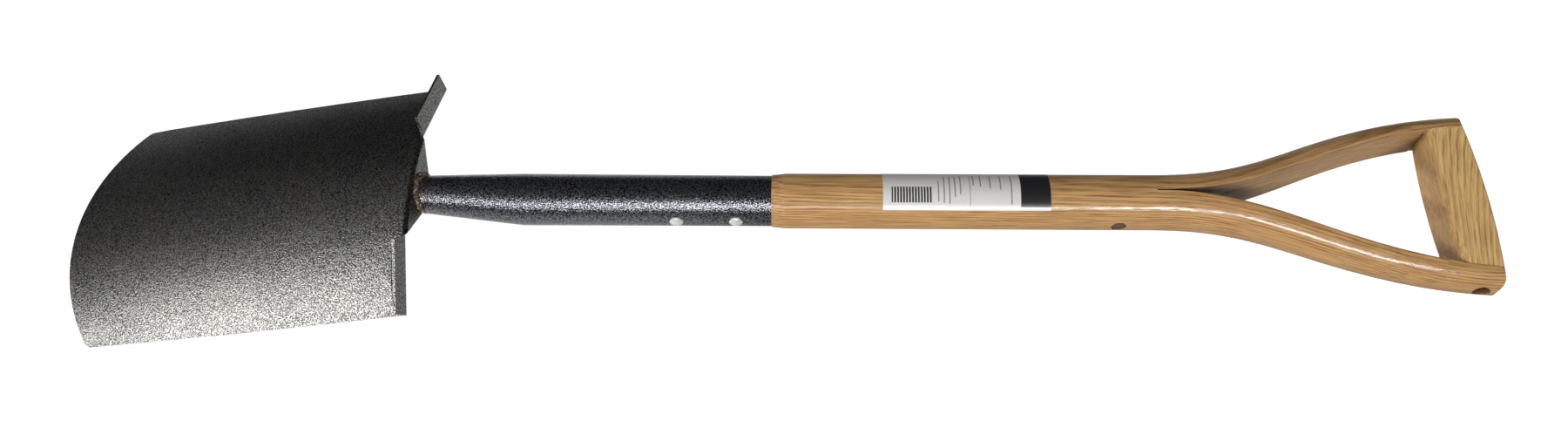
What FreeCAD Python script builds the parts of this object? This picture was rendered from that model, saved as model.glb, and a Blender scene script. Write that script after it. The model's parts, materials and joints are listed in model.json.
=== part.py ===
import FreeCAD, Part
import math
import os

# Garden digging spade with a pressed steel blade, a welded tubular socket and a split ash
# handle. Millimetres. The tool is modelled along its shaft: x runs from the blade to the
# grip with x = 0 at the tread fold, y runs across the width, z is the back of the spade.
# At the end everything is turned so that the spade lies face down on z = 0.

# Blade
BLADE_THICK = 2.0
BLADE_CANT = 13.8          # angle between blade and shaft, degrees
BLADE_SHIFT = 0.2          # the fold's position along the shaft
BLADE_RAISE = 4.2          # height of the blade's side edges at the fold above the shaft axis
FOLD_HALF_WIDTH = 90.2
MID_HALF_WIDTH = 91.3
EDGE_HALF_WIDTH = 89.8
FOLD_SAGITTA = 21.5        # rise of the arched section at the fold
MID_SAGITTA = 19.4
EDGE_SAGITTA = 14.7
SIDE_LENGTH = 256.5        # from the fold to the cutting corners
EDGE_BOW = 26.0            # how far the cutting edge reaches beyond its corners
CORNER_RADIUS = 5.0
STRIP = 10.0               # strip next to the fold where arch and straight bends meet

# Treads and tab, bent out of the blade's top edge
BEND_INNER = 0.8
TREAD_HEIGHT = 13.2
TREAD_INNER = 39.5         # distance of a tread's inner end from the centre line
TREAD_SLANT = 4.5          # how far that end leans outwards at the free edge
TAB_HALF_WIDTH = 39.1
TAB_NECK_HALF_WIDTH = 15.0
TAB_SHOULDER = 0.5         # the tab starts to narrow this far below the back of the plate
TAB_NECK_DROP = 18.5       # from the blade's crown down to the narrow part of the tab

# Socket
SOCKET_WALL = 1.8
SOCKET_LENGTH = 240.0
NECK_RADIUS = 13.2
NECK_RAISE = 6.9
TAPER_END = 67.0
TAPER_RADIUS = 18.0
TAPER_RAISE = 0.5
MOUTH_RADIUS = 17.5
WELD_RADIUS = 2.6          # weld bead over the upper half of the socket's end
WELD_ROOT_RADIUS = 1.0     # thinner bead closing the ring underneath
RIVET_POSITIONS = {"lower": 174.5, "upper": 215.5}
RIVET_SHANK = 2.5
RIVET_HEAD = 4.6
RIVET_HEAD_HEIGHT = 1.7
RIVET_TURN = 5.0           # the rivets sit this far round from the width direction, degrees

# Wooden shaft and its two arms
SHAFT_RADIUS = 19.0
SHOULDER_RADIUS = 18.1
SHOULDER_LENGTH = 9.5
SPIGOT_RADIUS = 15.6
SPIGOT_END = 95.0
KERF_START = 500.5
KERF_HALF = 0.6            # half the width of the saw cut between the arms
# position along the shaft, inner face offset, half depth, thickness, rounding of inner edges
ARM_STATIONS = [
    (KERF_START, KERF_HALF, SHAFT_RADIUS, SHAFT_RADIUS - KERF_HALF, 0.3),
    (531.0, 2.2, 19.0, 18.2, 1.0),
    (570.0, 11.1, 18.4, 16.6, 2.0),
    (610.0, 26.1, 17.4, 15.6, 2.2),
    (650.0, 40.5, 16.4, 14.7, 2.0),
    (690.0, 50.4, 15.4, 13.5, 1.2),
    (735.0, 54.9, 14.5, 12.7, 0.8),
]

# End of the handle, one bowed face over the arms and the grip
HANDLE_END = 723.0
END_BOW_RADIUS = 495.0
END_EDGE_RADIUS = 4.0      # easing of the face's long edges
END_CORNER_RADIUS = 4.0    # rounding of its corners, seen from above
END_TRIM = 40.0            # length over which the end is dressed
END_HALF_DEPTH = 14.7
END_HALF_WIDTH = 67.2

# Grip between the arms
GRIP_CENTRE = 707.5        # its rod lies here
GRIP_FRONT_MID = 691.4     # side towards the blade, in the middle and at the arms
GRIP_FRONT_END = 694.4
GRIP_HALF_DEPTH = 14.4
GRIP_CORNER = 6.0
SEAT_FRONT = (692.5, 51.5)
SEAT_BACK = (735.0, 56.0)

# Fastenings in the wood
SPLIT_RIVET_X = 476.5
SPLIT_RIVET_RADIUS = 2.5
PLUG_RADIUS = 5.0
PLUG_LENGTH = 5.0
PLUG_RECESS = 1.2
SPLIT_REACH = SHAFT_RADIUS - PLUG_RECESS - PLUG_LENGTH
ROD_RADIUS = 3.0
ROD_HEAD_RADIUS = 4.2
ROD_HEAD_LENGTH = 1.6
ROD_SEAT = 59.0            # distance of the counterbore floors from the centre line
COUNTERBORE_RADIUS = 5.4
WASHER_THICK = 1.2

# Paper label round the shaft
LABEL_START = 315.7
LABEL_LENGTH = 113.1
LABEL_THICK = 0.15
LABEL_EDGE_ANGLE = 47.0    # lower edge, measured from the back towards the near side
LABEL_WRAP = 195.0

X_AXIS = FreeCAD.Vector(1, 0, 0)
Y_AXIS = FreeCAD.Vector(0, 1, 0)
Z_AXIS = FreeCAD.Vector(0, 0, 1)
ORIGIN = FreeCAD.Vector(0, 0, 0)
BEND_OUTER = BEND_INNER + BLADE_THICK
BEND_START = -BEND_OUTER - 1


def point(x, y, z):
    return FreeCAD.Vector(x, y, z)


def arc(start, middle, end):
    return Part.Arc(start, middle, end).toShape()


def line(start, end):
    return Part.makeLine(start, end)


def prism(edges, direction):
    return Part.Face(Part.Wire(edges)).extrude(direction)


def polygon_prism(points, direction):
    return Part.Face(Part.makePolygon(points + points[:1])).extrude(direction)


def rod_along_y(x, radius, start, end):
    return Part.makeCylinder(radius, end - start, point(x, start, 0), Y_AXIS)


def loft_of_circles(stations):
    wires = [Part.Wire(Part.makeCircle(r, point(x, 0, z), X_AXIS)) for x, z, r in stations]
    return Part.makeLoft(wires, True, True)


# ---- blade, drawn flat in its own frame and then canted to the shaft ----

def arch(half_width, sagitta):
    """Radius of the arched section and height of its centre."""
    radius = (half_width ** 2 + sagitta ** 2) / (2 * sagitta)
    return radius, sagitta - radius


def arch_wire(x, half_width, sagitta):
    radius, centre = arch(half_width, sagitta)
    turn = math.asin(half_width / radius)
    inner = radius - BLADE_THICK
    inner_side = inner * math.sin(turn)
    inner_low = centre + inner * math.cos(turn)
    back_left = point(x, -half_width, 0)
    back_right = point(x, half_width, 0)
    face_left = point(x, -inner_side, inner_low)
    face_right = point(x, inner_side, inner_low)
    return Part.Wire([
        arc(back_left, point(x, 0, sagitta), back_right),
        line(back_right, face_right),
        arc(face_right, point(x, 0, sagitta - BLADE_THICK), face_left),
        line(face_left, back_left),
    ])


FOLD_RADIUS, FOLD_CENTRE = arch(FOLD_HALF_WIDTH, FOLD_SAGITTA)
NECK_Z = (NECK_RAISE - BLADE_RAISE) / math.cos(math.radians(BLADE_CANT))


def swing(face, from_width, to_width):
    """Turn a face standing on the centre line about the axis of the arch."""
    start = math.degrees(math.asin(from_width / FOLD_RADIUS))
    end = math.degrees(math.asin(to_width / FOLD_RADIUS))
    axis_point = point(0, 0, FOLD_CENTRE)
    placed = face.copy()
    placed.rotate(axis_point, X_AXIS, -start)
    return placed.revolve(axis_point, X_AXIS, start - end)


def bent_profile(side, leg, start):
    """L-shaped section of a 90 degree bend; side is +1 towards the back, -1 to the front."""
    outside = FOLD_CENTRE + FOLD_RADIUS - (BLADE_THICK if side > 0 else 0)
    inside = outside + side * BLADE_THICK
    corner = math.sqrt(0.5)
    outer_mid = point(-BEND_OUTER * (1 - corner), 0, outside + side * BEND_OUTER * (1 - corner))
    inner_mid = point(
        -BLADE_THICK - BEND_INNER * (1 - corner), 0, inside + side * BEND_INNER * (1 - corner)
    )
    a = point(start, 0, outside)
    b = point(-BEND_OUTER, 0, outside)
    c = point(0, 0, outside + side * BEND_OUTER)
    d = point(0, 0, outside + side * leg)
    e = point(-BLADE_THICK, 0, outside + side * leg)
    f = point(-BLADE_THICK, 0, inside + side * BEND_INNER)
    g = point(-BEND_OUTER, 0, inside)
    h = point(start, 0, inside)
    edges = [line(a, b), arc(b, outer_mid, c), line(c, d), line(d, e)]
    edges += [line(e, f), arc(f, inner_mid, g), line(g, h), line(h, a)]
    return Part.Face(Part.Wire(edges))


def flat_profile():
    """Section of the plate between the tab and a tread, up to the slot cut between them."""
    top = FOLD_CENTRE + FOLD_RADIUS
    return Part.Face(Part.makePolygon([
        point(-STRIP, 0, top),
        point(-BEND_OUTER, 0, top),
        point(-BEND_OUTER, 0, top - BLADE_THICK),
        point(-STRIP, 0, top - BLADE_THICK),
        point(-STRIP, 0, top),
    ]))


def fold_point(width, radius):
    """Point of the arched section at the fold, at a given distance from the centre line."""
    turn = math.asin(width / FOLD_RADIUS)
    return point(0, radius * math.sin(turn), FOLD_CENTRE + radius * math.cos(turn))


def tread():
    """Flat foot tread: the arch runs out into a straight fold."""
    inner = fold_point(TREAD_INNER, FOLD_RADIUS)
    outer = fold_point(FOLD_HALF_WIDTH, FOLD_RADIUS)
    length = (outer - inner).Length
    lean = math.atan2(inner.z - outer.z, outer.y - inner.y)
    skew = lean - math.asin(TREAD_INNER / FOLD_RADIUS)
    body = bent_profile(1, TREAD_HEIGHT + BLADE_THICK, BEND_START)
    body.translate(point(0, 0, -FOLD_CENTRE - FOLD_RADIUS))
    body = body.extrude(Y_AXIS * length)
    low = -2 * BLADE_THICK
    high = TREAD_HEIGHT + 1
    trimmed = [
        [(0, BEND_INNER), (0, high), (TREAD_SLANT, high)],
        [(0, 0), (0, low), (-low * math.tan(skew), low)],
        [(length, 0), (length, low), (length + low * math.tan(skew), low)],
    ]
    for corners in trimmed:
        wedge = polygon_prism([point(-STRIP, y, z) for y, z in corners], X_AXIS * (STRIP + 1))
        body = body.cut(wedge)
    body.rotate(ORIGIN, X_AXIS, -math.degrees(lean))
    body.translate(inner)
    face = FOLD_RADIUS - BLADE_THICK / math.cos(skew)
    section = [inner, outer, fold_point(FOLD_HALF_WIDTH, face), fold_point(TREAD_INNER, face)]
    section = [corner + point(BEND_START, 0, 0) for corner in section]
    straight = Part.makePolygon(section + section[:1])
    run_out = Part.makeLoft([arch_strip_wire(-STRIP), straight], True, True)
    return body.fuse(run_out)


def arch_strip_wire(x):
    """Section of the arched plate between a tread's inner and outer end."""
    middle = (TREAD_INNER + FOLD_HALF_WIDTH) / 2
    face = FOLD_RADIUS - BLADE_THICK
    shift = point(x, 0, 0)
    back_in = fold_point(TREAD_INNER, FOLD_RADIUS) + shift
    back_out = fold_point(FOLD_HALF_WIDTH, FOLD_RADIUS) + shift
    face_in = fold_point(TREAD_INNER, face) + shift
    face_out = fold_point(FOLD_HALF_WIDTH, face) + shift
    return Part.Wire([
        arc(back_in, fold_point(middle, FOLD_RADIUS) + shift, back_out),
        line(back_out, face_out),
        arc(face_out, fold_point(middle, face) + shift, face_in),
        line(face_in, back_in),
    ])


def tab():
    """Tongue bent down over the end of the socket."""
    crown = FOLD_SAGITTA
    corner = fold_point(TAB_HALF_WIDTH, FOLD_RADIUS).z - TAB_SHOULDER
    wide = swing(bent_profile(-1, BEND_OUTER + 3, -STRIP), -TAB_HALF_WIDTH, TAB_HALF_WIDTH)
    plate = Part.makeBox(
        BLADE_THICK, 2 * TAB_HALF_WIDTH, crown - BEND_OUTER - NECK_Z + NECK_RADIUS + 2,
        point(-BLADE_THICK, -TAB_HALF_WIDTH, NECK_Z - NECK_RADIUS - 2),
    )
    arch_space = Part.makeCylinder(
        FOLD_RADIUS - BEND_OUTER, STRIP, point(-STRIP, 0, FOLD_CENTRE), X_AXIS
    )
    body = wide.fuse(plate.common(arch_space))
    right = [
        point(-STRIP, TAB_HALF_WIDTH, crown + 5),
        point(-STRIP, TAB_HALF_WIDTH, corner),
        point(-STRIP, TAB_NECK_HALF_WIDTH, crown - TAB_NECK_DROP),
        point(-STRIP, NECK_RADIUS, NECK_Z),
    ]
    left = [point(p.x, -p.y, p.z) for p in right]
    outline = [line(right[i], right[i + 1]) for i in range(3)]
    outline.append(arc(right[3], point(-STRIP, 0, NECK_Z - NECK_RADIUS), left[3]))
    outline += [line(left[i + 1], left[i]) for i in (2, 1, 0)]
    outline.append(line(left[0], right[0]))
    return body.common(prism(outline, X_AXIS * (STRIP + 1)))


def blade_outline():
    """Plan of the blade: bowed cutting edge with rounded corners, open towards the fold."""
    low = -40
    bow_radius, centre = arch(EDGE_HALF_WIDTH, EDGE_BOW)
    centre = -SIDE_LENGTH - centre
    small = CORNER_RADIUS
    corner_y = EDGE_HALF_WIDTH - small
    corner_x = centre - math.sqrt((bow_radius - small) ** 2 - corner_y ** 2)
    turn = math.atan2(corner_y, centre - corner_x)
    middle = turn + (math.pi / 2 - turn) / 2

    def on_corner(angle, side):
        x = corner_x - small * math.cos(angle)
        return point(x, side * (corner_y + small * math.sin(angle)), low)

    far_edge, near_edge = on_corner(turn, 1), on_corner(turn, -1)
    far_side, near_side = on_corner(math.pi / 2, 1), on_corner(math.pi / 2, -1)
    wide = MID_HALF_WIDTH + 5
    far_wide = point(-SIDE_LENGTH / 2, wide, low)
    near_wide = point(-SIDE_LENGTH / 2, -wide, low)
    far_top = point(0, wide, low)
    near_top = point(0, -wide, low)
    return [
        arc(near_edge, point(centre - bow_radius, 0, low), far_edge),
        arc(far_edge, on_corner(middle, 1), far_side),
        line(far_side, far_wide),
        line(far_wide, far_top),
        line(far_top, near_top),
        line(near_top, near_wide),
        line(near_wide, near_side),
        arc(near_side, on_corner(middle, -1), near_edge),
    ]


def blade_in_own_frame():
    stations = [
        (-STRIP, FOLD_HALF_WIDTH, FOLD_SAGITTA),
        (-SIDE_LENGTH / 2, MID_HALF_WIDTH, MID_SAGITTA),
        (-SIDE_LENGTH - EDGE_BOW, EDGE_HALF_WIDTH, EDGE_SAGITTA),
    ]
    plate = Part.makeLoft([arch_wire(*station) for station in stations], True, False)
    plate = plate.common(prism(blade_outline(), Z_AXIS * 100))
    half = [swing(flat_profile(), TAB_HALF_WIDTH, TREAD_INNER), tread()]
    other = [piece.mirror(ORIGIN, Y_AXIS) for piece in half]
    return plate.multiFuse(half + other + [tab()]).removeSplitter()


def cant(shape):
    """Move a shape from the blade's frame to the frame of the tool."""
    placed = shape.copy()
    placed.rotate(ORIGIN, Y_AXIS, -BLADE_CANT)
    placed.translate(point(BLADE_SHIFT, 0, BLADE_RAISE))
    return placed


# ---- socket and weld ----

def socket_stations(inset):
    """Centre heights and radii; the tapered end runs on past the fold and is trimmed there."""
    shrink = (TAPER_RADIUS - NECK_RADIUS) / TAPER_END
    rise = (NECK_RAISE - TAPER_RAISE) / TAPER_END
    overrun = 20.0
    return [
        (-overrun, NECK_RAISE + rise * overrun, NECK_RADIUS - shrink * overrun - inset),
        (TAPER_END, TAPER_RAISE, TAPER_RADIUS - inset),
        (SOCKET_LENGTH, 0, MOUTH_RADIUS - inset),
    ]


def socket_body():
    outside = loft_of_circles(socket_stations(0))
    inside = loft_of_circles(socket_stations(SOCKET_WALL))
    beyond_fold = cant(Part.makeBox(100, 120, 120, point(-100, -60, -60)))
    return outside.cut(inside).cut(beyond_fold)


def weld(socket, blade):
    """Weld metal round the end of the socket, heaviest over the top."""
    centre = point(0, 0, NECK_Z)
    bead = Part.makeTorus(NECK_RADIUS, WELD_RADIUS, centre, X_AXIS)
    below = Part.makeBox(40, 80, 80, point(-20, -40, NECK_Z - 82))
    root = Part.makeTorus(NECK_RADIUS, WELD_ROOT_RADIUS, centre, X_AXIS)
    ring = bead.cut(below).fuse(root)
    beyond_fold = Part.makeBox(40, 80, 80, point(-40, -40, -40))
    solid_end = loft_of_circles(socket_stations(0))
    return cant(ring.cut(beyond_fold)).cut(solid_end).cut(socket).cut(blade)


def domed_rivet(x, reach):
    """Rivet across the socket with a low dome at both ends."""
    sphere = (RIVET_HEAD ** 2 + RIVET_HEAD_HEIGHT ** 2) / (2 * RIVET_HEAD_HEIGHT)
    shank = rod_along_y(x, RIVET_SHANK, -reach, reach)
    cap = Part.makeSphere(sphere, point(x, reach + RIVET_HEAD_HEIGHT - sphere, 0))
    head = cap.common(rod_along_y(x, RIVET_HEAD + 1, reach - 0.8, reach + 5))
    head = head.common(rod_along_y(x, RIVET_HEAD, reach - 1, reach + 5))
    rivet = shank.multiFuse([head, head.mirror(ORIGIN, Y_AXIS)]).removeSplitter()
    rivet.rotate(ORIGIN, X_AXIS, -RIVET_TURN)
    return rivet


# ---- wooden handle ----

def arm_section(place, along, half_depth, thickness, edge):
    """D-shaped section: flat sawn face, half round outside, eased inner edges."""
    out = point(-along.y, along.x, 0)

    def at(depth, height):
        return place + out * depth + Z_AXIS * height

    half_width = thickness + KERF_HALF
    shoulder = half_depth * math.sqrt(1 - ((edge + KERF_HALF) / half_width) ** 2)
    flat = half_depth - edge
    knee = 0.3 * edge
    return Part.Wire([
        line(at(0, -flat), at(0, flat)),
        arc(at(0, flat), at(knee, (flat + shoulder) / 2 + knee), at(edge, shoulder)),
        outer_half(at, half_width, half_depth, at(edge, shoulder), at(edge, -shoulder)),
        arc(at(edge, -shoulder), at(knee, -(flat + shoulder) / 2 - knee), at(0, -flat)),
    ])


def outer_half(at, half_width, half_depth, start, end):
    """Outside of the section: half of the round shaft, or an ellipse where it is thinned."""
    outermost = at(half_width - KERF_HALF, 0)
    if math.isclose(half_depth, half_width):
        return arc(start, outermost, end)
    ellipse = Part.Ellipse(at(-KERF_HALF, half_depth), outermost, at(-KERF_HALF, 0))
    return Part.ArcOfEllipse(ellipse, ellipse.parameter(start), ellipse.parameter(end)).toShape()


def arm():
    spine = Part.BSplineCurve()
    spine.interpolate([point(station[0], station[1], 0) for station in ARM_STATIONS])
    wires = []
    for x, y, half_depth, thickness, edge in ARM_STATIONS:
        place = point(x, y, 0)
        along = X_AXIS if x == KERF_START else spine.tangent(spine.parameter(place))[0]
        wires.append(arm_section(place, along, half_depth, thickness, edge))
    return Part.makeLoft(wires, True, False)


def seat_space():
    """Wedge between the arms that the grip fills."""
    front_x, front_y = SEAT_FRONT
    back_x, back_y = SEAT_BACK
    corners = [
        point(front_x, -front_y, -30), point(back_x, -back_y, -30),
        point(back_x, back_y, -30), point(front_x, front_y, -30),
    ]
    return polygon_prism(corners, Z_AXIS * 60)


def wooden_shaft():
    stem = Part.makeCylinder(
        SHAFT_RADIUS, KERF_START - SOCKET_LENGTH - SHOULDER_LENGTH,
        point(SOCKET_LENGTH + SHOULDER_LENGTH, 0, 0), X_AXIS,
    )
    shoulder = Part.makeCone(
        SHOULDER_RADIUS, SHAFT_RADIUS, SHOULDER_LENGTH, point(SOCKET_LENGTH, 0, 0), X_AXIS
    )
    spigot = Part.makeCylinder(
        SPIGOT_RADIUS, SOCKET_LENGTH - SPIGOT_END, point(SPIGOT_END, 0, 0), X_AXIS
    )
    far_arm = arm()
    near_arm = far_arm.mirror(ORIGIN, Y_AXIS)
    handle = stem.multiFuse([shoulder, spigot, far_arm, near_arm])
    return handle.cut(beyond_handle()).cut(seat_space())


def bowed_end(corner_radius):
    """Block under the bowed end face, with its upright corners rounded."""
    setback = END_BOW_RADIUS - math.sqrt(END_BOW_RADIUS ** 2 - END_HALF_WIDTH ** 2)
    start = HANDLE_END - END_TRIM
    low = -END_HALF_DEPTH
    near_front, far_front = (point(start, side * END_HALF_WIDTH, low) for side in (-1, 1))
    near_end, far_end = (
        point(HANDLE_END - setback, side * END_HALF_WIDTH, low) for side in (-1, 1)
    )
    outline = [
        line(near_front, near_end),
        arc(near_end, point(HANDLE_END, 0, low), far_end),
        line(far_end, far_front),
        line(far_front, near_front),
    ]
    block = prism(outline, Z_AXIS * (2 * END_HALF_DEPTH))
    if corner_radius == 0:
        return block
    corners = [edge for edge in block.Edges
               if edge.CenterOfMass.x > start + 1 and abs(edge.CenterOfMass.z) < 0.01]
    return block.makeFillet(corner_radius, corners)


def beyond_handle():
    """Everything outside the dressed end that the arms and the grip share."""
    eased = bowed_end(0)
    long_edges = [edge for edge in eased.Edges
                  if edge.CenterOfMass.x > HANDLE_END - END_TRIM / 2
                  and abs(edge.CenterOfMass.y) < 0.01]
    eased = eased.makeFillet(END_EDGE_RADIUS, long_edges)
    side = END_HALF_WIDTH + 5
    deep = END_HALF_DEPTH + 5
    block = Part.makeBox(
        2 * END_TRIM, 2 * side, 2 * deep, point(HANDLE_END - END_TRIM, -side, -deep)
    )
    return block.cut(eased.common(bowed_end(END_CORNER_RADIUS)))


def grip_section(y):
    """Section of the grip; its square back runs on past the handle's end and is cut there."""
    spread = (y / SEAT_BACK[1]) ** 2
    front = GRIP_FRONT_MID + (GRIP_FRONT_END - GRIP_FRONT_MID) * spread
    back = HANDLE_END + 5
    flat = GRIP_HALF_DEPTH - GRIP_CORNER
    inset = GRIP_CORNER * (1 - math.sqrt(0.5))

    def at(x, z):
        return point(x, y, z)

    top_back = at(back, GRIP_HALF_DEPTH)
    low_back = at(back, -GRIP_HALF_DEPTH)
    top_start = at(front + GRIP_CORNER, GRIP_HALF_DEPTH)
    low_start = at(front + GRIP_CORNER, -GRIP_HALF_DEPTH)
    top_middle = at(front + inset, GRIP_HALF_DEPTH - inset)
    low_middle = at(front + inset, inset - GRIP_HALF_DEPTH)
    return Part.Wire([
        line(low_back, top_back),
        line(top_back, top_start),
        arc(top_start, top_middle, at(front, flat)),
        line(at(front, flat), at(front, -flat)),
        arc(at(front, -flat), low_middle, low_start),
        line(low_start, low_back),
    ])


def grip():
    reach = SEAT_BACK[1]
    wires = [grip_section(y) for y in (-reach, -reach / 2, 0, reach / 2, reach)]
    body = Part.makeLoft(wires, True, False).common(seat_space()).cut(beyond_handle())
    return body.cut(rod_along_y(GRIP_CENTRE, ROD_RADIUS, -80, 80))


def mirrored_pair(shape):
    return shape, shape.mirror(ORIGIN, Y_AXIS)


def paper_label():
    strip = Part.Face(Part.makePolygon([
        point(LABEL_START, 0, SHAFT_RADIUS),
        point(LABEL_START + LABEL_LENGTH, 0, SHAFT_RADIUS),
        point(LABEL_START + LABEL_LENGTH, 0, SHAFT_RADIUS + LABEL_THICK),
        point(LABEL_START, 0, SHAFT_RADIUS + LABEL_THICK),
        point(LABEL_START, 0, SHAFT_RADIUS),
    ]))
    strip.rotate(ORIGIN, X_AXIS, LABEL_EDGE_ANGLE)
    return strip.revolve(ORIGIN, X_AXIS, -LABEL_WRAP)


def drilled_shaft(rivets):
    """Wooden handle with every hole that its fastenings need."""
    holes = [
        rod_along_y(SPLIT_RIVET_X, SPLIT_RIVET_RADIUS, -SPLIT_REACH, SPLIT_REACH),
        rod_along_y(SPLIT_RIVET_X, PLUG_RADIUS, SPLIT_REACH, 30),
        rod_along_y(SPLIT_RIVET_X, PLUG_RADIUS, -30, -SPLIT_REACH),
        rod_along_y(GRIP_CENTRE, ROD_RADIUS, -ROD_SEAT, ROD_SEAT),
        rod_along_y(GRIP_CENTRE, COUNTERBORE_RADIUS, ROD_SEAT, 90),
        rod_along_y(GRIP_CENTRE, COUNTERBORE_RADIUS, -90, -ROD_SEAT),
    ]
    return wooden_shaft().cut(Part.makeCompound(holes + rivets))


def build_tool():
    blade = cant(blade_in_own_frame())
    rivets = {
        name: domed_rivet(x, MOUTH_RADIUS + 0.3) for name, x in RIVET_POSITIONS.items()
    }
    socket = socket_body().cut(Part.makeCompound(list(rivets.values())))
    split_rivet = rod_along_y(SPLIT_RIVET_X, SPLIT_RIVET_RADIUS, -SPLIT_REACH, SPLIT_REACH)
    far_plug, near_plug = mirrored_pair(
        rod_along_y(SPLIT_RIVET_X, PLUG_RADIUS, SPLIT_REACH, SPLIT_REACH + PLUG_LENGTH)
    )
    rod_reach = ROD_SEAT + WASHER_THICK
    rod_head = rod_along_y(GRIP_CENTRE, ROD_HEAD_RADIUS, rod_reach, rod_reach + ROD_HEAD_LENGTH)
    rod = rod_along_y(GRIP_CENTRE, ROD_RADIUS, -rod_reach, rod_reach)
    rod = rod.multiFuse(list(mirrored_pair(rod_head))).removeSplitter()
    washer = rod_along_y(GRIP_CENTRE, COUNTERBORE_RADIUS - 0.3, ROD_SEAT, rod_reach)
    washer = washer.cut(rod_along_y(GRIP_CENTRE, ROD_RADIUS, 0, 90))
    far_washer, near_washer = mirrored_pair(washer)
    return {
        "blade": blade,
        "socket": socket,
        "neck_weld": weld(socket, blade),
        "socket_rivet_lower": rivets["lower"],
        "socket_rivet_upper": rivets["upper"],
        "shaft": drilled_shaft(list(rivets.values())),
        "grip": grip(),
        "split_rivet": split_rivet,
        "split_plug_near": near_plug,
        "split_plug_far": far_plug,
        "grip_rod": rod,
        "rod_washer_near": near_washer,
        "rod_washer_far": far_washer,
        "label": paper_label(),
    }


def bounds(shape):
    return shape.optimalBoundingBox(False, False)


def lay_face_down(pieces):
    """Turn the tool until blade and arms both touch the ground, centred over the origin."""
    span = GRIP_CENTRE + SIDE_LENGTH * math.cos(math.radians(BLADE_CANT))
    turn = 0.0
    for _ in range(6):
        blade = pieces["blade"].copy()
        shaft = pieces["shaft"].copy()
        blade.rotate(ORIGIN, Y_AXIS, turn)
        shaft.rotate(ORIGIN, Y_AXIS, turn)
        gap = bounds(shaft).ZMin - bounds(blade).ZMin
        turn += math.degrees(math.atan2(gap, span))
    for shape in pieces.values():
        shape.rotate(ORIGIN, Y_AXIS, turn)
    whole = bounds(Part.makeCompound(list(pieces.values())))
    middle = point((whole.XMin + whole.XMax) / 2, (whole.YMin + whole.YMax) / 2, whole.ZMin)
    for shape in pieces.values():
        shape.translate(-middle)


pieces = {name: shape.Solids[0] for name, shape in build_tool().items()}
lay_face_down(pieces)
os.makedirs("parts", exist_ok=True)
for name, shape in pieces.items():
    shape.exportStep("parts/" + name + ".step")
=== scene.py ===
import json
import math

import bmesh
import bpy
from mathutils import Euler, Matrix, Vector, noise


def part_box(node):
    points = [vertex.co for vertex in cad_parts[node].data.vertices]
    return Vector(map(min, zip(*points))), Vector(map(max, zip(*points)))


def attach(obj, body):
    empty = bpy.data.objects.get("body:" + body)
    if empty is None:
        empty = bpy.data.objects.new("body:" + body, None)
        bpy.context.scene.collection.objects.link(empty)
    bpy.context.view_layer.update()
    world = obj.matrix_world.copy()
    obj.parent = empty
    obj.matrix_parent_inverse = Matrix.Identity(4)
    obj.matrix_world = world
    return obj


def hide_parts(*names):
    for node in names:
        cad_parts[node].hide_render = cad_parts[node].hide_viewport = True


# Looks of the garden digging spade: hammered charcoal paint on the steel, lacquered ash with
# its growth rings and pores, a printed paper label and the small marks of making.
# Metres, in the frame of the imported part: x runs from the cutting edge to the grip.

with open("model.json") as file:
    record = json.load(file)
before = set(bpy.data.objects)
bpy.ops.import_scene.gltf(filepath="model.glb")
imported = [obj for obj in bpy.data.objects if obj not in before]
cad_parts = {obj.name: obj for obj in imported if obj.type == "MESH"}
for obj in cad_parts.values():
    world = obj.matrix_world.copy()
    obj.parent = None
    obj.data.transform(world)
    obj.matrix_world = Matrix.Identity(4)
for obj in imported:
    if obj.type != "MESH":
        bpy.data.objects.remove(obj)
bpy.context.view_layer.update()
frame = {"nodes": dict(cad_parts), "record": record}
nodes = frame["nodes"]

# Places worked out from the frame
WELD_LOW, WELD_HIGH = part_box("neck_weld")
LABEL_LOW, LABEL_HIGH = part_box("label")
ROD_LOW, ROD_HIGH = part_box("grip_rod")
PLUG_LOW, PLUG_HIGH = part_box("split_plug_near")
ROD_X = (ROD_LOW.x + ROD_HIGH.x) / 2
ROD_Z = (ROD_LOW.z + ROD_HIGH.z) / 2
PLUG_X = (PLUG_LOW.x + PLUG_HIGH.x) / 2
PLUG_Z = (PLUG_LOW.z + PLUG_HIGH.z) / 2
AXIS_SLOPE = (ROD_Z - PLUG_Z) / (ROD_X - PLUG_X)   # the shaft leans down towards the grip
SHAFT_TILT = -math.atan(AXIS_SLOPE)

# The blade's fold leans back by this much, and the weld runs round in its plane
FOLD_LEAN = math.radians(11.195)
WELD_INSET = 0.00306              # the bead's centre, in from the low end of the CAD ring
WELD_DROP = 0.01554               # and down from its top
WELD_RING = 0.0135
WELD_THIN = 0.0008                # the bead's radius underneath
WELD_EXTRA = 0.00150              # added to it on top
WELD_STEPS = 132
WELD_RIPPLES = 22
GLUE_STEPS = 90
GLUE_CENTRE = (-0.0076, 0.0085)   # middle of the rounded edge it follows, from the rod
GLUE_CORNER = 0.0060
GLUE_STRAIGHT = 0.0150
GLUE_ACROSS = 0.0530              # distance of the joint from the middle, at the rod
GLUE_FLARE = 0.106                # and how much it grows along the handle

# The split of the handle, measured from the plug below it and the grip's rod
SPLIT_START = PLUG_X + 0.034
SPLIT_END = ROD_X + 0.012
SPLIT_SPREAD = 0.0535

# The heart of the tree that the shaft was cut from: how far to the near side and how far down
HEART_ACROSS = 0.034
HEART_BELOW = 0.062

# Print on the label. Patches run from and to along the label, then from and to across it
BAND_ENDS = (0.0212, 0.0010)      # the black band's two ends, back from the label's far end
BAND_SIDES = (-0.0123, 0.0150)
BARS = (0.0062, 0.0340, -0.0098, 0.0010)
THIN_RULE = (0.0592, 0.0595, -0.0118, 0.0120)
BAR_PITCH = 0.0020
RULE_WIDTH = 0.0009
RULE_GREY = 0.62
INK_BLEED = 0.00012

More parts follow.
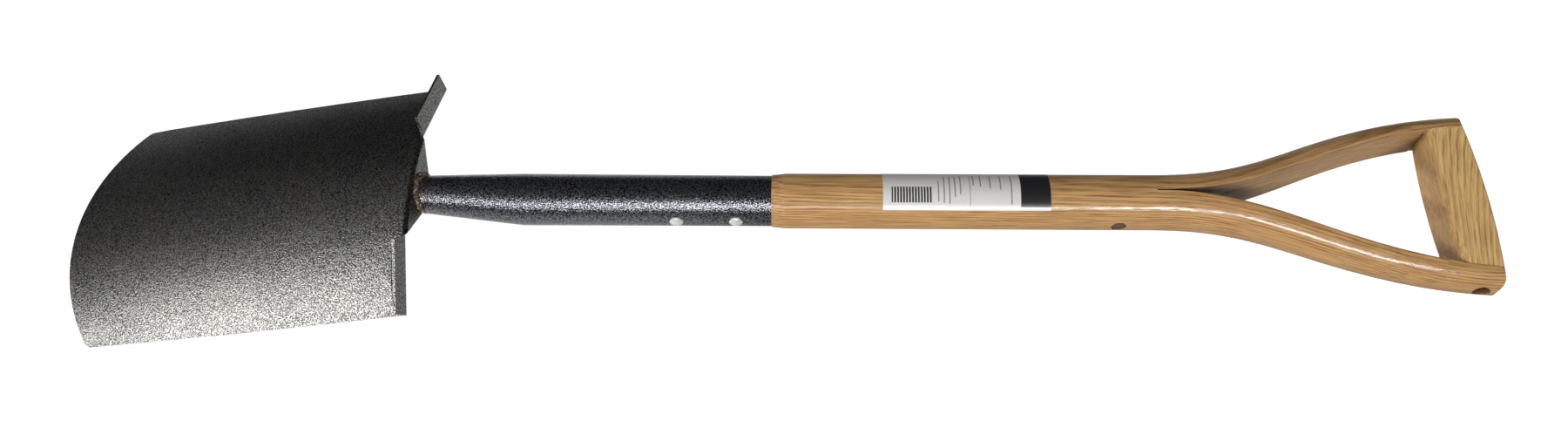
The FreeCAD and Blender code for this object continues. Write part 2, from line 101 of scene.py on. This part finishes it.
# Plain rules printed across the label: distance from its start, and where each begins and ends
RULES = [
    (0.0375, -0.0090, 0.0060), (0.0413, -0.0100, 0.0105), (0.0450, -0.0105, 0.0105),
    (0.0487, -0.0062, 0.0105), (0.0524, -0.0045, 0.0120), (0.0612, 0.0020, 0.0120),
    (0.0660, 0.0012, 0.0120), (0.0725, 0.0000, 0.0120), (0.0795, -0.0010, 0.0120),
    (0.0868, -0.0108, 0.0120),
]

FLOOR_REACH = 14.0
GLOW_DROP = 0.002                 # the floor that gloss sees lies this far below the other

# The camera's turn is in degrees and its lens in millimetres
CAMERA_PLACE = Vector((0.0765, -0.3989, 0.7506))
CAMERA_TURN = (27.767, 3.858, 1.003)
CAMERA_LENS = 27.12
CAMERA_SHIFT = (0.0047, 0.0039)


# ---- building materials ----

class Finish:
    """A material, with short ways to add nodes and join them."""

    def __init__(self, name):
        self.material = bpy.data.materials.new(name)
        self.material.use_nodes = True
        self.tree = self.material.node_tree
        self.shader = self.tree.nodes["Principled BSDF"]
        self.place = self.node("TexCoord").outputs["Object"]

    def node(self, kind, **inputs):
        made = self.tree.nodes.new("ShaderNode" + kind)
        for name, value in inputs.items():
            self.put(made.inputs[name.replace("_", " ")], value)
        return made

    def put(self, socket, value):
        if isinstance(value, bpy.types.NodeSocket):
            self.tree.links.new(value, socket)
        else:
            socket.default_value = value

    def set(self, **inputs):
        for name, value in inputs.items():
            self.put(self.shader.inputs[name.replace("_", " ")], value)

    def math(self, operation, first, second=0.0):
        made = self.node("Math")
        made.operation = operation
        self.put(made.inputs[0], first)
        self.put(made.inputs[1], second)
        return made.outputs[0]

    def times(self, first, second):
        return self.math("MULTIPLY", first, second)

    def plus(self, first, second):
        return self.math("ADD", first, second)

    def minus(self, first, second):
        return self.math("SUBTRACT", first, second)

    def measure(self, operation, first, second=None):
        """The length of a point, or the distance or dot product of two."""
        made = self.node("VectorMath")
        made.operation = operation
        self.put(made.inputs[0], first)
        if second is not None:
            self.put(made.inputs[1], second)
        return made.outputs["Value"]

    def split(self, vector):
        made = self.node("SeparateXYZ", Vector=vector)
        return made.outputs[0], made.outputs[1], made.outputs[2]

    def join(self, x, y, z):
        return self.node("CombineXYZ", X=x, Y=y, Z=z).outputs[0]

    def stretched(self, x, y, z, scales):
        """A point with each coordinate multiplied by its own scale."""
        return self.join(*(self.times(c, s) for c, s in zip((x, y, z), scales)))

    def noise(self, vector, scale, detail, roughness):
        made = self.node("TexNoise", Vector=vector, Scale=scale, Detail=detail, Roughness=roughness)
        return made.outputs["Fac"]

    def cells(self, vector, scale):
        return self.node("TexVoronoi", Vector=vector, Scale=scale).outputs["Distance"]

    def ramp(self, factor, *stops):
        """Colour ramp from (position, colour) pairs; a single number makes a grey."""
        made = self.node("ValToRGB", Fac=factor)
        elements = made.color_ramp.elements
        while len(elements) < len(stops):
            elements.new(0.5)
        for element, (position, colour) in zip(elements, stops):
            grey = isinstance(colour, (int, float))
            element.position = position
            element.color = (colour,) * 3 + (1,) if grey else (*colour, 1)
        return made.outputs["Color"]

    def between(self, value, low, high, soft):
        """1 between low and high, 0 outside, with soft edges."""
        risen = self.band(value, low - soft, low + soft)
        not_past = self.band(value, high + soft, high - soft)
        return self.times(risen, not_past)

    def band(self, value, low, high):
        """0 below low, 1 above high, smooth in between; low above high turns it round."""
        made = self.node("MapRange", Value=value, From_Min=low, From_Max=high)
        made.interpolation_type = "SMOOTHSTEP"
        return made.outputs[0]

    def mix(self, factor, first, second, blend="MIX"):
        made = self.node("Mix")
        made.data_type = "RGBA"
        made.blend_type = blend
        for socket, value in zip((0, 6, 7), (factor, first, second)):
            if isinstance(value, tuple):
                value = (*value, 1)
            self.put(made.inputs[socket], value)
        return made.outputs[2]

    def bump(self, height, strength, distance):
        return self.node("Bump", Height=height, Strength=strength, Distance=distance).outputs[0]

    def crevices(self, reach):
        """1 deep in cracks and narrow gaps, fading to 0 in the open."""
        made = self.node("AmbientOcclusion", Distance=reach)
        made.samples = 8
        return self.band(made.outputs["AO"], 0.66, 0.30)

    def painted_gap_shade(self, tone, reach, amount, colour):
        """The tone darkened in cracks and narrow gaps: painted shade."""
        return self.mix(self.times(self.crevices(reach), amount), tone, colour, "MULTIPLY")

    def edge_wear_and_glint(self, radius):
        """1 on outside edges, found by comparing the true normal with a rounded one."""
        rounded = self.node("Bevel", Radius=radius).outputs[0]
        true = self.node("NewGeometry").outputs["Normal"]
        return self.band(self.measure("DOT_PRODUCT", rounded, true), 0.985, 0.90)


def hammered_paint(name, light, dark, relief, neck):
    """Charcoal hammered enamel; neck is where rust shows through beside the weld."""
    finish = Finish(name)
    hammered = finish.noise(finish.place, 1180, 0.6, 0.45)
    flakes = finish.noise(finish.place, 2400, 1, 0.5)
    cloud = finish.noise(finish.place, 24, 3, 0.6)
    tint = finish.node("TexNoise", Vector=finish.place, Scale=330, Detail=1).outputs["Color"]
    crests = finish.band(hammered, 0.41, 0.60)
    tone = finish.mix(crests, dark, light)
    tone = finish.mix(finish.times(finish.band(flakes, 0.55, 0.72), 0.7), tone, light)
    tone = finish.mix(finish.band(cloud, 0.3, 0.75), tone, (0.020, 0.018, 0.015), "ADD")
    tone = finish.mix(0.10, tone, tint, "OVERLAY")
    # Lighter paint along outside edges: partly worn paint, partly a painted edge highlight
    edges = finish.edge_wear_and_glint(0.0006)
    tone = finish.mix(finish.times(edges, 0.5), tone, (0.30, 0.29, 0.28))
    away = finish.measure("DISTANCE", finish.place, neck)
    specks = finish.band(finish.noise(finish.place, 420, 3, 0.65), 0.60, 0.68)
    rust = finish.times(specks, finish.band(away, 0.016, 0.007))
    tone = finish.mix(rust, tone, (0.12, 0.062, 0.034))
    finish.set(Base_Color=tone, Metallic=0.95, Roughness=0.29)
    finish.set(Coat_Weight=0.35, Coat_Roughness=0.14)
    skin = finish.bump(hammered, 1.0, relief)
    finish.set(Normal=skin, Coat_Normal=skin)
    return finish


def weld_paint():
    """The weld's own skin: paint over scale, with rust breaking through."""
    finish = Finish("weld_metal")
    coarse = finish.noise(finish.place, 640, 4, 0.6)
    fine = finish.noise(finish.place, 1500, 2, 0.6)
    tone = finish.ramp(coarse, (0.40, (0.022, 0.018, 0.017)), (0.50, (0.070, 0.050, 0.040)),
                       (0.58, (0.24, 0.135, 0.072)), (0.68, (0.62, 0.44, 0.29)))
    tone = finish.mix(finish.band(fine, 0.62, 0.74), tone, (0.42, 0.34, 0.27))
    finish.set(Base_Color=tone, Metallic=0.35)
    finish.set(Roughness=finish.ramp(coarse, (0.3, 0.32), (0.7, 0.62)))
    finish.set(Normal=finish.bump(coarse, 0.9, 0.0004))
    return finish


def bright_steel(name, colour, metallic, roughness):
    """Plain steel with fine marks of the tool that closed it."""
    finish = Finish(name)
    dents = finish.noise(finish.place, 420, 2, 0.5)
    marks = finish.noise(finish.place, 2400, 2, 0.6)
    worn = tuple(0.62 * c for c in colour)
    finish.set(Base_Color=finish.mix(finish.band(marks, 0.35, 0.7), colour, worn), Metallic=metallic)
    finish.set(Roughness=finish.ramp(marks, (0.3, roughness), (0.8, roughness + 0.22)))
    finish.set(Normal=finish.bump(dents, 0.55, 0.0006))
    return finish


def closed_up(finish):
    """Wood coordinates of the handle, with the two arms pressed together again."""
    x, y, z = finish.split(finish.place)
    opened = finish.times(finish.band(x, SPLIT_START, SPLIT_END), SPLIT_SPREAD)
    across = finish.minus(y, finish.times(finish.math("SIGN", y), opened))
    lean = finish.times(finish.minus(x, PLUG_X), AXIS_SLOPE)
    above = finish.minus(finish.minus(z, PLUG_Z), lean)
    return x, across, above


def wood_grain(finish, rings, x, across, above, scales, tones, ring_width, ring_depth):
    """Tone and relief of wood, from its growth rings, pores and fibres.

    rings grows across the rings, in metres; scales stretch the pattern, small for the
    coordinate that runs along the fibres and large for the other two.
    """
    light, mid, deep = tones
    ring = finish.math("FRACT", finish.math("DIVIDE", rings, ring_width))
    porous = finish.ramp(ring, (0.0, 0.75), (0.14, 1.0), (0.40, 0.20), (0.85, 0.0), (1.0, 0.75))
    fibre = finish.noise(finish.stretched(x, across, above, [0.55 * s for s in scales]), 1, 3, 0.6)
    pores = finish.noise(finish.stretched(x, across, above, scales), 1, 2, 0.55)
    cloud = finish.noise(finish.stretched(x, across, above, [0.018 * s for s in scales]), 1, 2, 0.5)
    tone = finish.mix(finish.band(cloud, 0.25, 0.75), light, mid)
    tone = finish.mix(finish.times(finish.band(fibre, 0.42, 0.64), 0.58), tone, deep)
    streak = finish.times(finish.band(pores, 0.48, 0.62), 0.45 + 0.8 * ring_depth)
    streak = finish.times(streak, finish.plus(porous, 0.15))
    tone = finish.mix(streak, tone, tuple(0.45 * c for c in deep))
    tone = finish.mix(finish.times(porous, ring_depth), tone, deep)
    relief = finish.minus(fibre, finish.times(streak, 0.9))
    return tone, relief


def ash_wood():
    """Shaft and arms: straight fine grain that follows the bend of the arms."""
    finish = Finish("ash_wood")
    x, across, above = closed_up(finish)
    wander = finish.noise(finish.stretched(x, across, above, (7, 55, 55)), 1, 2, 0.5)
    sideways = finish.plus(across, HEART_ACROSS)
    upwards = finish.plus(above, HEART_BELOW)
    squares = finish.plus(finish.math("POWER", sideways, 2), finish.math("POWER", upwards, 2))
    heart = finish.math("SQRT", squares)
    rings = finish.plus(heart, finish.times(wander, 0.0055))
    rings = finish.plus(rings, finish.times(x, 0.010))
    tones = ((0.535, 0.327, 0.142), (0.468, 0.270, 0.108), (0.212, 0.100, 0.035))
    tone, relief = wood_grain(
        finish, rings, x, across, above, (48, 2000, 2000), tones, 0.0018, 0.47
    )
    # Painted shade: darker brown in the split and other narrow gaps
    tone = finish.painted_gap_shade(tone, 0.030, 0.9, (0.17, 0.10, 0.06))
    finish.set(Base_Color=tone, Roughness=0.42, Specular_IOR_Level=0.2)
    # The lacquer is dull from the socket to the label and glossy, in patches, beyond it
    bright = finish.band(x, LABEL_HIGH.x - 0.030, LABEL_HIGH.x + 0.008)
    bright = finish.ramp(bright, (0.0, 0.22), (1.0, 1.0))
    patchy = finish.noise(finish.stretched(x, across, above, (75, 700, 700)), 1, 2, 0.5)
    patchy = finish.ramp(patchy, (0.36, 0.35), (0.56, 1.0))
    finish.set(Coat_Weight=finish.times(bright, patchy), Coat_IOR=1.6, Coat_Roughness=0.08)
    finish.set(Normal=finish.bump(relief, 0.35, 0.00012))
    ripple = finish.noise(finish.stretched(x, across, above, (60, 420, 420)), 1, 2, 0.5)
    skin = finish.plus(ripple, finish.times(relief, 0.4))
    finish.set(Coat_Normal=finish.bump(skin, 0.32, 0.00016))
    return finish


def grip_wood():
    """Grip: paler wood, with wide rings that run slantwise and fan out, and painted shade on its
    side towards the shaft.
    """
    finish = Finish("grip_wood")
    x, y, z = finish.split(finish.place)
    wander = finish.noise(finish.stretched(x, y, z, (60, 14, 60)), 1, 2, 0.5)
    from_rod = finish.minus(x, ROD_X)
    slant = finish.times(y, finish.plus(finish.times(from_rod, 5.0), 0.19))
    across = finish.minus(from_rod, slant)
    rings = finish.plus(across, finish.times(wander, 0.0022))
    rings = finish.minus(rings, finish.times(z, 0.16))
    tones = ((0.770, 0.525, 0.230), (0.700, 0.445, 0.175), (0.380, 0.210, 0.074))
    tone, relief = wood_grain(
        finish, rings, across, y, z, (2100, 75, 2100), tones, 0.0041, 0.36
    )
    # Painted shade: the grip's side towards the shaft is multiplied darker
    shaft_side_shade = finish.band(from_rod, -0.0075, -0.0155)
    tone = finish.mix(finish.times(shaft_side_shade, 0.75), tone, (0.62, 0.53, 0.47), "MULTIPLY")
    # Painted shade: darker in the gaps at the grip's joints
    tone = finish.painted_gap_shade(tone, 0.012, 0.8, (0.26, 0.16, 0.10))
    finish.set(Base_Color=tone, Roughness=0.48, Coat_Weight=0.45, Coat_Roughness=0.28)
    finish.set(Normal=finish.bump(relief, 0.30, 0.00012))
    return finish


def plug_wood():
    """End grain of the dark plugs."""
    finish = Finish("plug_wood")
    x, y, z = finish.split(finish.place)
    pores = finish.cells(finish.join(x, 0.0, z), 1700)
    cloud = finish.noise(finish.place, 500, 3, 0.6)
    tone = finish.ramp(cloud, (0.3, (0.055, 0.024, 0.013)), (0.7, (0.150, 0.077, 0.042)))
    tone = finish.mix(finish.band(pores, 0.25, 0.10), tone, (0.035, 0.014, 0.010))
    finish.set(Base_Color=tone, Roughness=0.45, Coat_Weight=0.6, Coat_Roughness=0.2)
    finish.set(Normal=finish.bump(cloud, 0.5, 0.0004))
    return finish


def printed_paper():
    """Pale label with a black band, plain bars and plain rules; it carries no lettering."""
    finish = Finish("label_paper")
    x, y, z = finish.split(finish.place)
    start = finish.minus(x, LABEL_LOW.x)
    lean = finish.times(finish.minus(z, PLUG_Z), -AXIS_SLOPE)
    start = finish.minus(start, lean)
    fibre = finish.noise(finish.place, 900, 3, 0.6)
    tone = finish.mix(fibre, (0.490, 0.482, 0.467), (0.565, 0.557, 0.543))

    def patch(from_x, to_x, from_y, to_y):
        """1 inside a printed rectangle; y is measured across the shaft."""
        along = finish.between(start, from_x, to_x, INK_BLEED)
        return finish.times(along, finish.between(y, from_y, to_y, INK_BLEED))

    length = LABEL_HIGH.x - LABEL_LOW.x
    printed = patch(length - BAND_ENDS[0], length - BAND_ENDS[1], *BAND_SIDES)
    barred = patch(*BARS)
    bars = finish.math("FRACT", finish.math("DIVIDE", start, BAR_PITCH))
    barred = finish.times(barred, finish.band(bars, 0.62, 0.56))
    printed = finish.math("MAXIMUM", printed, barred)
    printed = finish.math("MAXIMUM", printed, patch(*THIN_RULE))
    for offset, low, high in RULES:
        rule = finish.times(patch(offset, offset + RULE_WIDTH, low, high), RULE_GREY)
        printed = finish.math("MAXIMUM", printed, rule)
    tone = finish.mix(printed, tone, (0.012, 0.012, 0.014))
    finish.set(Base_Color=tone, Roughness=0.34, Coat_Weight=0.6, Coat_Roughness=0.20)
    crease = finish.noise(finish.stretched(x, y, z, (40, 260, 260)), 1, 1, 0.5)
    finish.set(Normal=finish.bump(fibre, 0.12, 0.0001))
    finish.set(Coat_Normal=finish.bump(crease, 0.25, 0.0003))
    return finish


def pale_floor():
    """White under the spade and pale grey well away from it."""
    finish = Finish("pale_floor")
    lit = around_the_spade(finish, 2.40, 0.66)
    finish.set(Base_Color=(0.20, 0.20, 0.20, 1), Roughness=0.85)
    level = finish.ramp(lit, (0.0, 0.55), (1.0, 0.98))
    finish.set(Emission_Color=(1, 1, 1, 1), Emission_Strength=level)
    return finish


def floor_glow():
    """The floor as gloss sees it: brightest beside the blade, dim beside the wood."""
    finish = Finish("floor_glow")
    lit = around_the_spade(finish, 0.95, 0.55)
    x, y, z = finish.split(finish.place)
    level = finish.ramp(finish.band(x, -0.15, 0.10), (0.0, 0.72), (1.0, 0.20))
    finish.set(Base_Color=(0, 0, 0, 1), Roughness=1.0, Specular_IOR_Level=0.0)
    finish.set(Emission_Color=(1, 1, 1, 1), Emission_Strength=finish.times(lit, level))
    return finish


def around_the_spade(finish, outside, inside):
    """1 in an oval round the spade, fading to 0."""
    x, y, z = finish.split(finish.place)
    away = finish.measure("LENGTH", finish.join(x, finish.times(y, 2.5), 0.0))
    return finish.band(away, outside, inside)


def paint_nodes():
    """One finish for each material slot of the record."""
    neck = ((WELD_LOW.x + WELD_HIGH.x) / 2, -0.004, WELD_HIGH.z)
    finishes = {
        "blade_paint": hammered_paint(
            "blade_paint", (0.200, 0.196, 0.191), (0.005, 0.0045, 0.004), 0.00023, neck
        ),
        "socket_paint": hammered_paint(
            "socket_paint", (0.26, 0.27, 0.30), (0.003, 0.0035, 0.005), 0.00025, neck
        ),
        "weld_metal": weld_paint(),
        "rivet_steel": bright_steel("rivet_steel", (0.80, 0.80, 0.79), 0.55, 0.26),
        # Near-black steel: painted shade for its ends that sit deep in their holes
        "plain_steel": bright_steel("plain_steel", (0.13, 0.115, 0.10), 1.0, 0.48),
        "ash_wood": ash_wood(),
        "grip_wood": grip_wood(),
        "plug_wood": plug_wood(),
        "label_paper": printed_paper(),
    }
    for part in frame["record"]["subparts"]:
        data = nodes[part["node"]].data
        data.materials.clear()
        data.materials.append(finishes[part["material_slot"]].material)
    return finishes


# ---- pieces made here ----

def add_piece(name, mesh, finish):
    mesh.materials.append(finish.material)
    mesh.shade_smooth()
    made = bpy.data.objects.new(name, mesh)
    bpy.context.scene.collection.objects.link(made)
    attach(made, "root")
    return made


def tube(name, centres, radii, sides, closed):
    """Tube through centres, with its own radius at each; an open one has flat ends."""
    built = bmesh.new()
    rings = []
    count = len(centres)
    for index, (centre, radius) in enumerate(zip(centres, radii)):
        after = centres[(index + 1) % count if closed else min(index + 1, count - 1)]
        before = centres[index - 1 if closed or index else 0]
        along = (after - before).normalized()
        if rings:
            last = rings[-1][0]
            first = (last - along * last.dot(along)).normalized()
        else:
            first = along.orthogonal().normalized()
        second = along.cross(first)
        rings.append((first, [
            built.verts.new(centre + radius * (math.cos(turn) * first + math.sin(turn) * second))
            for turn in (2 * math.pi * k / sides for k in range(sides))
        ]))
    loops = [ring for first, ring in rings]
    for index in range(count if closed else count - 1):
        here, there = loops[index], loops[(index + 1) % count]
        offset = 0
        if closed and index == count - 1:
            offset = min(range(sides), key=lambda k: (there[k].co - here[0].co).length)
        for k in range(sides):
            following = (k + 1) % sides
            built.faces.new((
                here[k],
                here[following],
                there[(following + offset) % sides],
                there[(k + offset) % sides],
            ))
    if not closed:
        built.faces.new(reversed(loops[0]))
        built.faces.new(loops[-1])
    bmesh.ops.recalc_face_normals(built, faces=built.faces)
    mesh = bpy.data.meshes.new(name)
    built.to_mesh(mesh)
    built.free()
    return mesh


def neck_weld(finish):
    """Hand laid bead round the socket's end: overlapping ripples, full on top, thin below."""
    centre = Vector((WELD_LOW.x + WELD_INSET, 0.0, WELD_HIGH.z - WELD_DROP))
    upwards = Vector((-math.sin(FOLD_LEAN), 0.0, math.cos(FOLD_LEAN)))
    outwards = Vector((math.cos(FOLD_LEAN), 0.0, math.sin(FOLD_LEAN)))
    centres = []
    radii = []
    for step in range(WELD_STEPS):
        turn = 2 * math.pi * step / WELD_STEPS
        heavy = 0.5 + 0.5 * math.tanh(5 * (math.sin(turn) - 0.05))
        ripple = abs(math.sin(turn * WELD_RIPPLES / 2 + 0.6 * math.sin(3 * turn)))
        lump = noise.noise(Vector((math.cos(turn), math.sin(turn), 0.0)) * 3.1)
        radii.append(WELD_THIN + heavy * (WELD_EXTRA + 0.00040 * ripple + 0.00045 * lump))
        sway = noise.noise(Vector((3.0, math.cos(turn), math.sin(turn))) * 2.3)
        spread = WELD_RING - 0.0009 * (1 - heavy) + 0.0004 * sway
        place = centre + spread * (math.cos(turn) * Vector((0, 1, 0)) + math.sin(turn) * upwards)
        centres.append(place + 0.0003 * outwards)
    bead = add_piece("weld_bead", tube("weld_bead", centres, radii, 14, True), finish)
    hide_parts("neck_weld")


def on_handle(along, across, above):
    """Point of the frame from places along, across and above the shaft, from the grip's rod."""
    return Vector((
        ROD_X + along * math.cos(SHAFT_TILT) + above * math.sin(SHAFT_TILT),
        across,
        ROD_Z - along * math.sin(SHAFT_TILT) + above * math.cos(SHAFT_TILT),
    ))


def squeezed_glue():
    """Dried glue in lumps along the far joint of the grip."""
    finish = Finish("dried_glue")
    cloud = finish.noise(finish.place, 1500, 2, 0.5)
    finish.set(Base_Color=finish.mix(cloud, (0.30, 0.17, 0.06), (0.62, 0.44, 0.22)), Roughness=0.16)
    finish.set(Coat_Weight=1.0, Coat_Roughness=0.05)
    skin = finish.bump(cloud, 1.0, 0.0005)
    finish.set(Normal=skin, Coat_Normal=skin)
    centres = []
    radii = []
    for step in range(GLUE_STEPS):
        way = step / (GLUE_STEPS - 1)
        run = way * (GLUE_CORNER * math.pi / 2 + GLUE_STRAIGHT)
        turn = min(run / GLUE_CORNER, math.pi / 2)
        straight = max(0.0, run - GLUE_CORNER * math.pi / 2)
        along = GLUE_CENTRE[0] - GLUE_CORNER * math.cos(turn) + straight
        above = GLUE_CENTRE[1] + GLUE_CORNER * math.sin(turn)
        across = GLUE_ACROSS + GLUE_FLARE * along + 0.0002 * math.sin(19 * way)
        centres.append(on_handle(along, across, above))
        lump = noise.noise(Vector((way * 9.0, 0.7, 0.0)))
        lump += 0.6 * noise.noise(Vector((way * 23.0, 4.0, 0.0)))
        ends = math.sqrt(max(0.0, math.sin(math.pi * way)))
        radii.append(0.0001 + ends * max(0.0002, 0.00058 + 0.00085 * lump))
    add_piece("glue_line", tube("glue_line", centres, radii, 10, False), finish)


# ---- stage ----

def ground(name, height, finish):
    mesh = bpy.data.meshes.new(name)
    far = FLOOR_REACH
    corners = [(-far, -far), (far, -far), (far, far), (-far, far)]
    mesh.from_pydata([(x, y, height) for x, y in corners], [], [(0, 1, 2, 3)])
    mesh.materials.append(finish.material)
    made = bpy.data.objects.new(name, mesh)
    bpy.context.scene.collection.objects.link(made)
    return made


def floor():
    """A floor that the camera and soft light see, and a dimmer one that gloss sees."""
    seen = ground("floor", 0.0, pale_floor())
    seen.visible_glossy = False
    mirrored = ground("floor_glow", -GLOW_DROP, floor_glow())
    mirrored.visible_camera = False
    mirrored.visible_diffuse = False
    mirrored.visible_shadow = False


def soft_light(name, place, aim, size, power, spread=180):
    """A lamp of the given width and height, in watts; spread is in degrees."""
    data = bpy.data.lights.new(name, "AREA")
    data.shape = "RECTANGLE"
    data.size, data.size_y = size
    data.energy = power
    data.spread = math.radians(spread)
    lamp = bpy.data.objects.new(name, data)
    lamp.location = place
    lamp.rotation_euler = (Vector(aim) - Vector(place)).to_track_quat("-Z", "Y").to_euler()
    bpy.context.scene.collection.objects.link(lamp)
    return lamp


def studio():
    soft_light("left", (-1.42, -0.56, 0.84), (-0.36, -0.06, 0.03), (1.0, 0.9), 3.0, 60)
    soft_light("left_wide", (-1.25, 0.10, 1.05), (-0.36, 0.0, 0.03), (1.2, 1.0), 0.26, 70)
    soft_light("front", (0.15, -1.40, 1.08), (0.10, 0.0, 0.02), (1.7, 0.25), 23)
    top = soft_light("top", (0.25, -0.35, 1.9), (0.05, 0.0, 0.0), (1.8, 0.6), 13)
    top.visible_glossy = False
    world = bpy.data.worlds.new("studio")
    world.use_nodes = True
    sky = world.node_tree.nodes["Background"]
    sky.inputs["Color"].default_value = (0.95, 0.97, 1.0, 1)
    sky.inputs["Strength"].default_value = 0.035
    bpy.context.scene.world = world


def camera():
    data = bpy.data.cameras.new("camera")
    data.lens = CAMERA_LENS
    data.shift_x, data.shift_y = CAMERA_SHIFT
    data.clip_start = 0.01
    made = bpy.data.objects.new("camera", data)
    made.location = CAMERA_PLACE
    made.rotation_euler = Euler([math.radians(angle) for angle in CAMERA_TURN], "XYZ")
    bpy.context.scene.collection.objects.link(made)
    bpy.context.scene.camera = made


finishes = paint_nodes()
neck_weld(finishes["weld_metal"])
squeezed_glue()
floor()
studio()
camera()
bpy.context.scene.view_settings.view_transform = "Standard"
